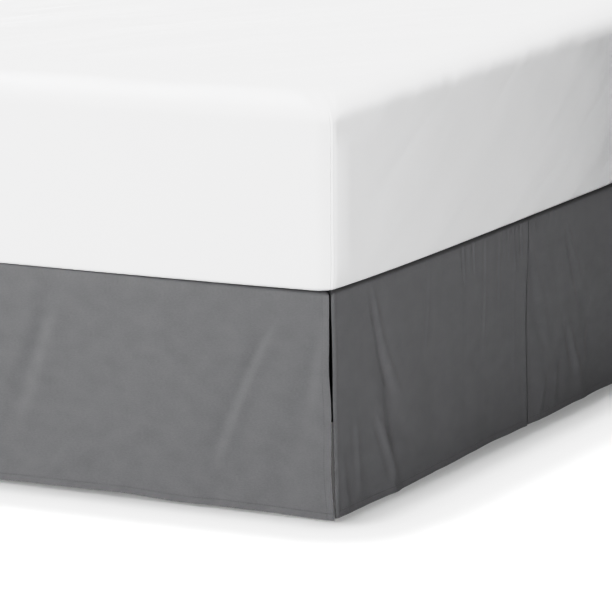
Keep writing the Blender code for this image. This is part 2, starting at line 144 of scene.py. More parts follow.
FOOT_DROP = Drop(
    name="foot_drop",
    location=(0.0, -HALF_LENGTH),
    turn=0.0,
    flat=(1.86, 0.43),
    crisp=0.25,
    fine=(0.300, 0.0024),
    left=Edge(at=-HALF_WIDTH + 0.0085, radius=0.009, sweep=50.0, mitred=True),
    right=Edge(at=HALF_WIDTH - 0.0085, radius=0.009, sweep=50.0, mitred=True),
    seam=table(
        Seam, (-0.758, 0.0), (-0.69, 0.004), (-0.6, 0.008), (-0.5, 0.011), (-0.3, 0.013), (0.0, 0.013),
        (0.4, 0.013), (0.62, 0.009), (0.758, 0.0)),
    hem=table(
        Hem, (-0.758, 0.0055, 0.001, 0.0), (-0.56, 0.009, 0.002, 0.0), (-0.36, 0.009, 0.002, 0.0),
        (-0.23, 0.005, 0.002, 0.001), (-0.14, 0.002, 0.0, 0.001), (-0.06, 0.004, 0.007, 0.0005),
        (0.06, 0.006, 0.008, 0.0005), (0.3, 0.002, 0.001, 0.001), (0.56, 0.012, 0.0, 0.001),
        (0.758, 0.008, -0.001, 0.001)),
    folds=table(
        Fold, (-0.603, -0.53, 0.34, 0.12, -0.012, 0.034, 0.03, -0.004),
        (-0.6, -0.545, 0.13, 0.0, 0.0, 0.03, 0.03, 0.004),
        (-0.42, -0.37, 0.3, 0.02, 0.0, 0.07, 0.07, -0.003),
        (-0.69, -0.64, 0.3, 0.02, 0.0, 0.03, 0.04, -0.0014),
        (-0.27, -0.262, 0.35, 0.1, 0.0, 0.012, 0.018, -0.0006),
        (-0.196, -0.18, 0.35, 0.06, 0.0, 0.014, 0.02, 0.0006),
        (-0.07, -0.058, 0.35, 0.12, 0.0, 0.01, 0.014, 0.0006),
        (0.06, 0.11, 0.35, 0.16, 0.0, 0.034, 0.034, 0.003),
        (0.028, 0.08, 0.34, 0.2, 0.0, 0.01, 0.014, -0.0008),
        (0.2, 0.262, 0.28, 0.11, 0.0, 0.036, 0.036, -0.004),
        (0.19, 0.245, 0.12, 0.0, 0.0, 0.036, 0.036, 0.003),
        (0.48, 0.43, 0.34, 0.03, 0.0, 0.045, 0.045, 0.004),
        (0.64, 0.6, 0.32, 0.0, 0.0, 0.04, 0.04, -0.004)),
    creases=table(
        Crease, (-0.628, -0.515, 0.38, 0.14, -0.014, 0.0069, 0.0161, 0.0059),
        (-0.585, -0.555, 0.19, 0.065, 0.0, 0.0184, 0.0207, -0.0053),
        (-0.612, -0.545, 0.15, 0.012, 0.0, 0.0103, 0.0138, 0.0053),
        (-0.684, -0.672, 0.16, 0.015, 0.0, 0.0103, 0.0115, 0.0026),
        (-0.724, -0.698, 0.11, -0.01, 0.0, 0.0161, 0.0161, -0.0031),
        (-0.412, -0.43, 0.39, 0.2, 0.0, 0.0046, 0.008, 0.0018),
        (-0.289, -0.275, 0.4, 0.305, 0.0, 0.004, 0.0057, 0.002),
        (-0.245, -0.236, 0.4, 0.315, 0.0, 0.0034, 0.0052, 0.002),
        (-0.196, -0.199, 0.4, 0.17, 0.004, 0.004, 0.008, 0.002),
        (-0.138, -0.132, 0.385, 0.215, 0.0, 0.0046, 0.0069, 0.0014),
        (-0.101, -0.093, 0.4, 0.315, 0.0, 0.0034, 0.0046, 0.0018),
        (-0.077, -0.055, 0.4, 0.29, 0.0, 0.004, 0.0057, -0.0034),
        (-0.045, -0.028, 0.4, 0.305, 0.0, 0.004, 0.0069, 0.0028),
        (0.0, 0.075, 0.345, 0.125, 0.0, 0.0069, 0.0172, 0.0053),
        (0.148, 0.275, 0.35, 0.14, -0.009, 0.0072, 0.0217, 0.0046),
        (0.262, 0.248, 0.2, 0.05, 0.008, 0.0247, 0.0261, -0.0045),
        (0.155, 0.217, 0.178, 0.038, 0.0, 0.0101, 0.0174, 0.0048),
        (0.08, 0.045, 0.08, -0.01, 0.0, 0.0115, 0.0115, -0.0028),
        (0.13, 0.12, 0.095, 0.015, 0.0, 0.0145, 0.0159, -0.0025)),
    puckers=table(
        Pucker, (-0.259, 0.0, 0.006, 0.04, 0.001), (-0.12, 0.0, 0.006, 0.045, -0.0013),
        (0.012, 0.0, 0.0035, 0.02, -0.001), (0.022, 0.02, 0.0035, 0.024, 0.001),
        (0.035, 0.0, 0.0035, 0.02, -0.0011), (0.048, 0.02, 0.0035, 0.02, 0.0011),
        (0.062, 0.0, 0.0035, 0.024, -0.0013), (0.078, 0.02, 0.0035, 0.018, 0.001),
        (0.094, 0.02, 0.004, 0.018, -0.0009), (0.39, 0.0, 0.005, 0.05, -0.0013),
        (0.47, 0.0, 0.005, 0.04, -0.0013)),
    nudges=table(
        Nudge, (-0.748, 0.345, 0.012, 0.05, -0.0012, 0.0), (-0.744, 0.12, 0.01, 0.03, 0.001, 0.0),
        (-0.004, 0.365, 0.01, 0.05, 0.0022, 0.0), (0.004, 0.365, 0.01, 0.05, -0.0022, 0.0),
        (0.014, 0.15, 0.03, 0.17, 0.0, -0.0038), (-0.008, 0.15, 0.01, 0.17, 0.0, 0.0018),
        (-0.012, 0.0, 0.008, 0.008, 0.0, 0.001), (0.0, 0.39, 0.06, 0.13, -0.01, 0.0),
        (0.0, 0.19, 0.06, 0.11, -0.011, 0.0)),
)

LEFT_DROP = Drop(
    name="left_drop",
    location=(-HALF_WIDTH, 0.0),
    turn=-90.0,
    flat=(2.37, 0.43),
    crisp=0.30,
    fine=(0.030, 0.0030),
    left=Edge(at=-HALF_LENGTH + 0.006, radius=0.008, sweep=50.0, mitred=False),
    right=Edge(at=HALF_LENGTH - 0.001, radius=0.012, sweep=16.0, mitred=True),
    seam=table(
        Seam, (-1.012, 0.0), (-0.5, 0.004), (0.0, 0.004), (0.38, 0.002), (0.6, 0.004), (0.74, 0.006),
        (0.9, 0.005), (1.012, 0.0035)),
    hem=table(
        Hem, (-1.012, 0.006, 0.0, 0.001), (-0.7, 0.014, 0.001, 0.002), (-0.35, 0.004, 0.002, 0.0),
        (-0.06, 0.009, -0.001, 0.001), (0.06, 0.008, 0.001, 0.001), (0.33, 0.002, 0.0, 0.001),
        (0.45, 0.003, 0.0, 0.003), (0.62, 0.003, 0.002, 0.004), (0.73, 0.004, 0.003, 0.0004),
        (0.84, 0.004, 0.004, 0.0012), (1.012, 0.007, 0.0015, 0.0)),
    folds=table(
        Fold, (-0.83, -0.78, 0.33, 0.02, 0.0, 0.045, 0.045, 0.004),
        (-0.56, -0.5, 0.31, 0.06, 0.0, 0.05, 0.05, -0.004),
        (-0.3, -0.35, 0.33, 0.0, 0.0, 0.045, 0.045, 0.003),
        (0.27, 0.215, 0.35, 0.08, 0.0, 0.05, 0.05, -0.003),
        (0.516, 0.425, 0.35, 0.09, 0.0, 0.034, 0.038, -0.002),
        (0.56, 0.47, 0.11, 0.0, 0.0, 0.045, 0.045, 0.0015),
        (0.925, 0.8, 0.33, 0.03, 0.0, 0.03, 0.026, -0.0018),
        (0.88, 0.76, 0.28, 0.02, 0.0, 0.04, 0.04, 0.0014),
        (1.0, 0.955, 0.33, 0.13, 0.0, 0.022, 0.022, -0.0012),
        (0.69, 0.64, 0.3, 0.08, 0.0, 0.04, 0.05, 0.0012)),
    creases=table(
        Crease, (0.925, 0.788, 0.345, 0.03, -0.01, 0.013, 0.021, 0.0056),
        (0.812, 0.762, 0.255, 0.08, 0.0, 0.03, 0.03, -0.002),
        (0.928, 0.884, 0.25, -0.02, 0.0, 0.03, 0.03, -0.002),
        (1.013, 0.968, 0.375, 0.15, 0.0, 0.012, 0.022, 0.0026),
        (0.953, 0.923, 0.3, 0.03, 0.0, 0.022, 0.03, -0.0014),
        (0.508, 0.41, 0.35, 0.075, 0.0, 0.018, 0.027, 0.005),
        (0.478, 0.43, 0.375, 0.19, 0.0, 0.02, 0.022, -0.0016),
        (0.84, 0.866, 0.11, -0.02, 0.0, 0.02, 0.022, -0.0018),
        (0.53, 0.468, 0.092, 0.01, 0.0, 0.014, 0.015, 0.0014),
        (0.612, 0.62, 0.235, 0.11, 0.0, 0.02, 0.02, -0.0006),
        (0.79, 0.715, 0.26, 0.145, 0.0, 0.014, 0.016, 0.0009),
        (-0.65, -0.56, 0.33, 0.05, 0.0, 0.012, 0.016, 0.0013),
        (0.125, 0.062, 0.31, 0.08, 0.0, 0.012, 0.016, 0.0012)),
    puckers=table(
        Pucker, (-0.64, 0.0, 0.005, 0.05, -0.001), (-0.07, 0.0, 0.004, 0.04, -0.0012),
        (0.055, 0.0, 0.004, 0.035, -0.001), (0.35, 0.0, 0.006, 0.04, -0.0008)),
    nudges=table(
        Nudge, (0.004, 0.35, 0.012, 0.04, -0.0006, 0.0), (-0.004, 0.35, 0.012, 0.04, 0.0006, 0.0),
        (0.48, 0.012, 0.03, 0.018, 0.0, -0.0012), (0.9, 0.01, 0.02, 0.016, 0.0, -0.001),
        (1.0, -0.005, 0.05, 0.055, 0.0075, 0.0), (1.012, 0.25, 0.02, 0.035, -0.0022, 0.0),
        (1.012, 0.15, 0.02, 0.11, 0.004, 0.0)),
)

RIGHT_DROP = Drop(
    name="right_drop",
    location=(HALF_WIDTH, 0.0),
    turn=90.0,
    flat=(2.37, 0.43),
    crisp=0.30,
    fine=(0.030, 0.0030),
    left=Edge(at=-HALF_LENGTH + 0.001, radius=0.012, sweep=16.0, mitred=True),
    right=Edge(at=HALF_LENGTH - 0.006, radius=0.008, sweep=50.0, mitred=False),
    seam=table(
        Seam, (-1.012, 0.0), (-0.9, 0.005), (-0.55, 0.009), (0.0, 0.008), (0.5, 0.009), (0.9, 0.004),
        (1.012, 0.0)),
    hem=table(
        Hem, (-1.012, 0.009, -0.009, 0.0), (-0.76, 0.006, -0.003, 0.001), (-0.42, 0.014, 0.0, 0.002),
        (-0.06, 0.007, -0.001, 0.0), (0.06, 0.009, 0.001, 0.0), (0.38, 0.003, 0.001, 0.001),
        (0.74, 0.012, 0.0, 0.002), (1.012, 0.006, 0.0, 0.001)),
    folds=table(
        Fold, (-0.91, -0.83, 0.33, 0.05, 0.0, 0.036, 0.036, -0.004),
        (-0.64, -0.56, 0.31, 0.0, 0.0, 0.05, 0.05, 0.004),
        (-0.3, -0.26, 0.34, 0.09, 0.0, 0.045, 0.045, -0.003),
        (0.24, 0.3, 0.33, 0.0, 0.0, 0.045, 0.045, 0.003),
        (0.52, 0.47, 0.32, 0.06, 0.0, 0.05, 0.05, -0.004),
        (0.86, 0.81, 0.33, 0.0, 0.0, 0.042, 0.042, 0.004),
        (-0.78, -0.74, 0.3, 0.05, 0.0, 0.03, 0.04, 0.0012)),
    creases=table(
        Crease, (-0.93, -0.82, 0.33, 0.05, 0.0, 0.012, 0.016, -0.0028),
        (-0.5, -0.42, 0.33, 0.03, 0.0, 0.012, 0.016, 0.0026),
        (0.03, 0.085, 0.345, 0.1, 0.0, 0.006, 0.015, 0.0026),
        (0.64, 0.565, 0.32, 0.02, 0.0, 0.012, 0.018, -0.0028)),
    puckers=table(
        Pucker, (-0.42, 0.0, 0.005, 0.05, -0.001), (-0.062, 0.0, 0.004, 0.04, -0.0012),
        (0.05, 0.0, 0.004, 0.03, -0.001), (0.69, 0.0, 0.006, 0.045, -0.001)),
    nudges=table(
        Nudge, (0.004, 0.35, 0.012, 0.04, -0.0006, 0.0), (-0.004, 0.35, 0.012, 0.04, 0.0006, 0.0),
        (-0.5, 0.012, 0.03, 0.018, 0.0, -0.0012)),
)

# Unevenness of a hanging cloth: all over, at the hem, and of the hem's height.
WANDER = table(
    Waver, (8.0, 5.0, 0, 0.0011), (27.0, 14.0, 9, 0.00035), (75.0, 38.0, 18, 0.00008))
HEM_RIPPLE = Waver(42.0, 60.0, 27, 0.0005)
HEM_WANDER = Waver(17.0, 0.0, 36, 0.0004)
HEM_RIPPLE_HEIGHT = 0.045

# Reliefs of the sheet by distance from a corner seam, and the height of the top dimple.
SEAM_RIDGE = Bell(0.0026, 0.0012, 0.0006)
SEAM_GROOVE = Bell(0.0, 0.0012, -0.0017)
SEAM_GATHERS = Bell(0.008, 0.006, 0.00035)
GATHER_PITCH = 0.017
FOLD_TAILS = table(Bell, (0.0, 0.09, 0.7), (0.0, 0.010, 0.3))
FOLD_RISE = 0.0050
FOLD_TOP = 0.262
TOP_DIMPLE = Bell(0.012, 0.009, -0.0020)
TOP_DIMPLE_BAND = Bell(0.305, 0.020, 1.0)
SHEET_PULL = 0.0030         # how far the sheet draws in at its lower edge
SHEET_PULL_HEIGHT = 0.038
CREASE_LIE = (0.88, 0.47)   # which way the laid creases run

# Pitches of the finest threads, and how wide a line of stitches shows.
SHEET_THREAD = 0.00045
TICKING_THREAD = 0.0009
STITCH_LINE = (0.0003, 0.0009)

LIGHTS = (
    Light("side_softbox", "AREA", (-2.9, 3.2, 0.6), (-0.7, -0.5, 0.35), (1.6, 1.0), 130.0, 180),
    Light("corner_softbox", "AREA", (-5.9, -2.5, 0.45), (-0.76, -0.5, 0.8), (1.0, 1.0), 32.2, 70),
    Light("front_softbox", "AREA", (-0.8, -3.2, 0.5), (-0.6, -1.0, 0.4), (0.5, 0.5), 14.6, 180),
    Light("right_softbox", "AREA", (4.4, 3.0, 0.9), (0.7, 0.2, 0.35), (1.6, 1.2), 200.0, 180),
    Light("overhead", "SUN", (0.79, 0.94, 6.0), (0.0, 0.0, 0.0), None, 3.42, None),
)
BOUNCE = 0.010
FLOOR_GLOW = 0.058
FLOOR_SINK = 0.0004         # keeps the floor clear of the feet of the legs
TONES = (
    (0.0, 0.0), (0.035, 0.044), (0.0625, 0.098), (0.108, 0.205), (0.173, 0.335), (0.254, 0.56),
    (0.333, 0.65), (0.54, 0.83), (0.62, 0.855), (0.70, 0.874), (0.867, 0.91), (1.0, 1.0))


def colour_setting(name, note, default):
    return FloatVectorProperty(
        name=name, description=note, subtype="COLOR", size=3, min=0.0, max=1.0, default=default)


def length_setting(name, note, default):
    return FloatProperty(name=name, description=note, unit="LENGTH", default=default)


def angle_setting(name, note, degrees):
    return FloatProperty(name=name, description=note, subtype="ANGLE", default=radians(degrees))


class SkirtSettings(bpy.types.PropertyGroup):
    """Sizes and colours of the hanging cloth and its deck."""

    colour: colour_setting("Cloth colour", "Brushed cloth of the skirt", (0.098, 0.098, 0.101))
    cloth: length_setting("Cloth", "Thickness of one layer", 0.0011)
    hem_cloth: length_setting("Hem cloth", "Thickness where the hem is turned up", 0.0018)
    column_pitch: length_setting("Column pitch", "Spacing of the mesh along a drop", 0.0050)
    row_pitch: length_setting("Row pitch", "Spacing of the mesh up a drop", 0.0055)
    thread_pitch: length_setting("Thread pitch", "Spacing of the threads in the weave", 0.00055)
    stitch_pitch: length_setting("Stitch pitch", "Spacing of the hem stitches", 0.0032)


class SheetSettings(bpy.types.PropertyGroup):
    """Sizes and colours of the fitted sheet and the mattress in it."""

    colour: colour_setting("Sheet colour", "White cotton of the fitted sheet", (0.66, 0.66, 0.664))
    ticking: colour_setting("Ticking colour", "Cover of the mattress", (0.66, 0.66, 0.64))
    cloth: length_setting("Cloth", "Thickness of the sheet", 0.0006)
    stand_off: length_setting("Stand-off", "How far the sheet lies outside the mattress", 0.0010)
    tuck: length_setting("Tuck", "How far the sheet turns in under the mattress", 0.080)


class BaseSettings(bpy.types.PropertyGroup):
    """Sizes and colours of the base and its legs."""

    cover: colour_setting("Cover colour", "Woven cover of the base", (0.045, 0.045, 0.047))
    dust_cover: colour_setting("Dust cover colour", "Thin cloth under the base", (0.03, 0.03, 0.032))
    leg: colour_setting("Leg colour", "Paint of the legs", (0.030, 0.030, 0.031))
    tape: length_setting("Tape width", "Width of the tape edge", 0.012)
    leg_sides: IntProperty(
        name="Leg sides", description="Faces round each leg", default=48, min=16)


class StageSettings(bpy.types.PropertyGroup):
    """The floor, the lights and the camera."""

    floor_colour: colour_setting("Floor colour", "Plain pale floor", (0.85, 0.85, 0.85))
    floor_size: length_setting("Floor size", "Side of the square floor", 90.0)
    overhead_spread: angle_setting("Overhead spread", "How wide the soft light from above is", 18)
    surround: FloatProperty(
        name="Surround", description="Strength of the light from all round", default=0.02)
    camera_place: FloatVectorProperty(
        name="Camera place", description="Where the camera stands", subtype="XYZ",
        unit="LENGTH", size=3, default=(-7.4042, -4.3806, 1.88))
    camera_heading: angle_setting("Camera heading", "Turn of its line of sight from +X toward +Y", 27.19)
    camera_dip: angle_setting("Camera dip", "How far it looks down", 11.53)
    camera_roll: angle_setting("Camera roll", "Lean of the camera", -0.36)
    lens: FloatProperty(
        name="Lens", description="Focal length in millimetres", default=275.94)


class BedSkirtSettings(bpy.types.PropertyGroup):
    """Everything that a user would change."""

    skirt: PointerProperty(type=SkirtSettings)
    sheet: PointerProperty(type=SheetSettings)
    base: PointerProperty(type=BaseSettings)
    stage: PointerProperty(type=StageSettings)


class Value:
    """A node socket that takes part in arithmetic, adding its Math nodes."""

    def __init__(self, shader, socket):
        self.shader = shader
        self.socket = socket

    def math(self, operation, *others):
        return self.shader.node(
            "ShaderNodeMath", {"operation": operation},
            **{str(index): item for index, item in enumerate((self, *others))})

    def __add__(self, other):
        return self.math("ADD", other)

    def __mul__(self, other):
        return self.math("MULTIPLY", other)

    def __sub__(self, other):
        return self.math("SUBTRACT", other)

    def __rsub__(self, other):
        return self * -1 + other

    def sine(self):
        return self.math("SINE")

    def size(self):
        return self.math("ABSOLUTE")

    def ramp(self, start, end):
        """0 at start, 1 at end, smooth between and flat outside."""
        return self.shader.node(
            "ShaderNodeMapRange", {"interpolation_type": "SMOOTHSTEP"},
            **{"Value": self, "From Min": start, "From Max": end})


class Shader:
    """One material, built node by node."""

    def __init__(self, name, **constants):
        self.material = bpy.data.materials.new(name)
        self.material.use_nodes = True
        self.tree = self.material.node_tree
        self.surface = self.tree.nodes["Principled BSDF"]
        for socket, value in constants.items():
            self.surface.inputs[socket.replace("_", " ")].default_value = value

    def node(self, kind, settings=None, output=0, **inputs):
        """Add a node: its settings first, then the values or links of its sockets."""
        node = self.tree.nodes.new(kind)
        for name, value in (settings or {}).items():
            setattr(node, name, value)
        shown = [socket for socket in node.inputs if socket.enabled]
        for name, value in inputs.items():
            socket = shown[int(name)] if name.isdigit() else self.find(shown, name)
            if isinstance(value, Value):
                self.tree.links.new(value.socket, socket)
            else:
                socket.default_value = value
        outputs = [socket for socket in node.outputs if socket.enabled]
        return Value(self, outputs[output])

    @staticmethod
    def find(sockets, name):
        return next(socket for socket in sockets if socket.name == name)

    def uv(self, layer):
        """The two numbers of one of the piece's own UV maps, in metres."""
        place = self.node("ShaderNodeUVMap", {"uv_map": layer})
        parts = self.node("ShaderNodeSeparateXYZ", Vector=place)
        return parts, Value(self, parts.socket.node.outputs[1])

    def object_place(self):
        """The point in the bed's own space, whole and as its three numbers."""
        place = self.node("ShaderNodeTexCoord", output=3)
        parts = self.node("ShaderNodeSeparateXYZ", Vector=place)
        outputs = parts.socket.node.outputs
        return place, parts, Value(self, outputs[1]), Value(self, outputs[2])

    def join(self, x, y, z=0.0):
        return self.node("ShaderNodeCombineXYZ", X=x, Y=y, Z=z)

    def cloud(self, place, scale=1.0, detail=2.0, roughness=0.5):
        return self.node(
            "ShaderNodeTexNoise", Vector=place, Scale=scale, Detail=detail,
            Roughness=roughness)

    def streaks(self, x, y, z=0.0, **look):
        """A cloud drawn out differently along each of its numbers."""
        return self.cloud(self.join(x, y, z), **look)

    def mix(self, factor, first, second):
        return self.node(
            "ShaderNodeMix", {"data_type": "RGBA"}, **{"0": factor, "A": first, "B": second})

    def bump(self, height):
        """A relief given in metres."""
        return self.node("ShaderNodeBump", Height=height, Distance=1.0, Strength=1.0)

    def finish(self, colour, height, roughness):
        """Link the surface's colour, relief and roughness, and give the material."""
        feeds = {"Base Color": colour, "Normal": self.bump(height), "Roughness": roughness}
        for name, value in feeds.items():
            self.tree.links.new(value.socket, self.surface.inputs[name])
        return self.material


def tone(colour, factor):
    """A colour made lighter or darker, as four numbers."""
    return (*(min(channel * factor, 1.0) for channel in colour), 1.0)


def along_creases(x, y):
    """Distances along and across the lie of the laid creases."""
    major, minor = CREASE_LIE
    return x * major - y * minor, y * major + x * minor


def skirt_cloth(skirt):
    """Brushed microfibre: fine weave, a short lengthwise nap, and stitched hems."""
    shader = Shader("brushed_skirt_cloth", Specular_IOR_Level=0.1)
    u, v = shader.uv("cloth")
    side, height = shader.uv("hem")
    thread = tau / skirt.thread_pitch
    weave = (u * thread).sine() * (v * thread).sine()
    nap = shader.streaks(u * 210.0, v * 520.0, detail=3.0, roughness=0.6)
    mottle = shader.streaks(u * 26.0, v * 34.0, 3.0)
    crinkle = shader.streaks(u * 70.0, v * 60.0, 7.0, detail=3.0, roughness=0.55)
    band = (height - SIDE_HEM).size()
    band_line = 1 - band.ramp(*STITCH_LINE)
    side_line = 1 - (side - SIDE_HEM).size().ramp(*STITCH_LINE)
    step = (u * (tau / skirt.stitch_pitch)).sine().ramp(-0.4, 0.2)
    climb = (v * (tau / skirt.stitch_pitch)).sine().ramp(-0.4, 0.2)
    stitches = band_line * step + side_line * climb
    puckered = 1 - height.ramp(0.010, 0.030)
    shade = nap * 0.55 + mottle * 0.35 + weave * 0.05 - stitches * 0.35
    colour = shader.mix(
        shade.ramp(0.15, 0.75), tone(skirt.colour, 0.87), tone(skirt.colour, 1.13))
    relief = weave * 0.000030 + nap * 0.00016 + crinkle * (puckered * 0.0013 + 0.00030)
    relief = relief - (band_line + side_line) * 0.00045 + stitches * 0.00015
    return shader.finish(colour, relief, nap * 0.10 + 0.56)


def sheet_cotton(sheet):
    """Smooth white cotton with a fine plain weave and faint lasting creases."""
    shader = Shader("white_sheet_cotton", Specular_IOR_Level=0.25)
    place, x, y, z = shader.object_place()
    u, v = shader.uv("cloth")
    thread = tau / SHEET_THREAD
    weave = (u * thread).sine() * (v * thread).sine()
    slub = shader.streaks(u * 60.0, v * 900.0)
    lean, across = along_creases(x, y)
    crease = shader.streaks(lean * 1.8, (across - z) * 9.0, 2.0, detail=3.0, roughness=0.6)
    laid = z.ramp(0.62, 0.70)
    calm = 1 - x.ramp(0.60, 0.75) * 0.8
    crease = crease * (x.ramp(-0.74, -0.55) * (laid * 0.004 + 0.006) * calm)
    soft = shader.cloud(place, 7.0)
    colour = shader.mix(
        slub * 0.6 + soft * 0.4, tone(sheet.colour, 0.975), tone(sheet.colour, 1.02))
    relief = weave * 0.000015 + slub * 0.00002 + crease + soft * 0.0016
    return shader.finish(colour, relief, slub * 0.08 + 0.78)


def ticking(name, colour, stripe):
    """Woven ticking with a self stripe."""
    shader = Shader(name, Specular_IOR_Level=0.3)
    place, x, y, z = shader.object_place()
    thread = tau / TICKING_THREAD
    along = x + y
    weave = (along * thread).sine() * (z * thread).sine()
    bands = (along * (tau / stripe)).sine().ramp(-0.15, 0.15)
    grain = shader.cloud(place, 320.0, detail=3.0)
    shade = bands * 0.45 + grain * 0.45 + weave * 0.08
    varied = shader.mix(shade.ramp(0.0, 1.0), tone(colour, 0.84), tone(colour, 1.10))
    relief = weave * 0.00006 + bands * 0.00012 + grain * 0.00008
    return shader.finish(varied, relief, grain * 0.12 + 0.78)


def leg_paint(base):
    """Satin black paint, worn a little at the foot."""
    shader = Shader("satin_leg_paint", Specular_IOR_Level=0.5)
    place, x, y, z = shader.object_place()
    orange_peel = shader.cloud(place, 420.0)
    scuffs = shader.streaks(x * 60.0, y * 60.0, z * 14.0, detail=4.0, roughness=0.7)
    worn = (1 - z.ramp(0.0, 0.035)) * scuffs.ramp(0.52, 0.66)
    colour = shader.mix(worn * 0.7, tone(base.leg, 1.0), (0.16, 0.155, 0.15, 1.0))
    relief = orange_peel * 0.00004 - worn * 0.00006
    return shader.finish(colour, relief, scuffs * 0.18 + worn * 0.2 + 0.30)


def plain_stage(colour):
    """Matt floor with a barely visible grain, lit a little from under like a studio sweep."""
    shader = Shader(
        "studio_floor", Specular_IOR_Level=0.0, Roughness=0.9, Emission_Strength=FLOOR_GLOW)
    place, *_ = shader.object_place()
    grain = shader.cloud(place, 3.0)
    varied = shader.mix(grain, tone(colour, 0.995), tone(colour, 1.0))
    shader.tree.links.new(varied.socket, shader.surface.inputs["Base Color"])
    return shader.material


def smoothstep(share):
    """An S-shaped ramp from 0 to 1, flat outside."""
    share = np.clip(share, 0.0, 1.0)
    return share * share * (3 - 2 * share)


def between_rows(rows, along, column):
    """Read one named column of a table at places between its rows."""
    places = np.array([row.along for row in rows])
    values = np.array([getattr(row, column) for row in rows])
    index = np.clip(np.searchsorted(places, along, side="right") - 1, 0, len(rows) - 2)
    share = (along - places[index]) / (places[index + 1] - places[index])
    return values[index] + (values[index + 1] - values[index]) * smoothstep(share)


def bell(distance, shape):
    """A smooth hump of one shape, at its full rise where the distance is shape.at."""
    return shape.rise * np.exp(-((distance - shape.at) / shape.width) ** 2)


def soft_noise(x, y, scale_x, scale_y, seed):
    """Smooth noise from -1 to 1 over two arrays of one shape."""
    points = zip(np.ravel(x * scale_x), np.ravel(y * scale_y))
    values = [noise.noise(Vector((a, b, seed))) for a, b in points]
    return np.array(values).reshape(np.shape(x))


def arc(centre_x, centre_depth, radius, start, end, steps):
    """Points of an arc in a drop's plan, from one angle to another in degrees."""
    angles = np.radians(np.linspace(start, end, steps + 1))
    return [(centre_x + radius * cos(a), centre_depth + radius * sin(a)) for a in angles]


def run(start_x, end_x, start_depth, end_depth, pitch):
    """Points strictly between two ends of a straight stretch, about one pitch apart."""
    count = max(int(round(abs(end_x - start_x) / pitch)), 1)
    shares = np.linspace(0.0, 1.0, count + 1)[1:-1]
    return [
        (start_x + (end_x - start_x) * s, start_depth + (end_depth - start_depth) * s)
        for s in shares]


def panel(start_x, end_x, pitch, fine_start, fine_end):
    """A flat stretch at the front, with closer columns over a length at each end."""
    first = start_x + fine_start[0]
    last = end_x - fine_end[0]
    points = run(start_x, first, 0.0, 0.0, fine_start[1]) + [(first, 0.0)]
    points += run(first, last, 0.0, 0.0, pitch) + [(last, 0.0)]
    return points + run(last, end_x, 0.0, 0.0, fine_end[1])


def pleat_plan(pitch):
    """The centre pleat seen from above: front, middle and back layers, joined by tight folds."""
    lip = FOLD_RADIUS + SOLID_CLOTH / 2 + PLEAT_SLIT / 2
    middle = LAYER_STEP
    back = 2 * LAYER_STEP
    set_middle = middle + PLEAT_SETBACK
    set_back = back + PLEAT_SETBACK
    plan = arc(-lip, FOLD_RADIUS, FOLD_RADIUS, -90, 90, FOLD_STEPS)
    plan += run(-lip, -PLEAT_DEPTH, middle, middle, pitch)
    plan += arc(-PLEAT_DEPTH, middle + FOLD_RADIUS, FOLD_RADIUS, -90, -270, FOLD_STEPS)
    plan += run(-PLEAT_DEPTH, PLEAT_DEPTH, back, set_back, pitch)
    plan += arc(PLEAT_DEPTH, set_back - FOLD_RADIUS, FOLD_RADIUS, 90, -90, FOLD_STEPS)
    plan += run(PLEAT_DEPTH, lip, set_middle, set_middle, pitch)
    plan += arc(lip, set_middle - FOLD_RADIUS, FOLD_RADIUS, 90, 270, FOLD_STEPS)
    return plan


def drop_plan(drop, pitch):
    """The drop seen from above, edge to edge, and which points lie in the pleat."""
    left = drop.left
    right = drop.right
    left_x = left.at + left.radius * sin(radians(left.sweep))
    right_x = right.at - right.radius * sin(radians(right.sweep))
    pleat = pleat_plan(2 * pitch)
    end = pleat[-1]
    before = arc(left_x, left.radius, left.radius, -90 - left.sweep, -90, CURL_STEPS)
    before += panel(left_x, pleat[0][0], pitch, HEM_COLUMNS, drop.fine)
    eased = [
        (end[0] + PLEAT_EASE * share, end[1] * (1 - share))
        for share in (0.06, 0.15, 0.26, 0.38, 0.5, 0.62, 0.75, 0.88, 1.0)]
    after = eased + panel(eased[-1][0], right_x, pitch, drop.fine, HEM_COLUMNS)
    after += arc(right_x, right.radius, right.radius, -90, -90 + right.sweep, CURL_STEPS)
    plan = np.array(before + pleat + after)
    folded = np.zeros(len(plan), bool)
    folded[len(before):len(before) + len(pleat)] = True
    return plan[:, 0], plan[:, 1], folded


def drop_rows(pitch):
    """Heights, turn angles and runs of the rows, from hem to deck seam."""
    heights = list(HEM_HEIGHTS)
    count = int(round((TURN_HEIGHT - heights[-1]) / pitch))
    heights += list(np.linspace(heights[-1], TURN_HEIGHT, count + 1)[1:])
    rows = [(height, 0.0, 0.0) for height in heights]
    rows += [(TURN_HEIGHT, pi / 2 * step / TURN_STEPS, 0.0) for step in range(1, TURN_STEPS + 1)]
    rows += [(TURN_HEIGHT, pi / 2, SEAM_RUN * share) for share in (0.5, 1.0)]
    return np.array(rows).T[:, :, None]


def fold_line(row, height):
    """How far up a fold or crease each height is, from 0 to 1, and where its line is there."""
    share = (height - row.low) / (row.high - row.low)
    middle = row.low_at + (row.high_at - row.low_at) * share
    return share, middle + row.bow * 4 * share * (1 - share)


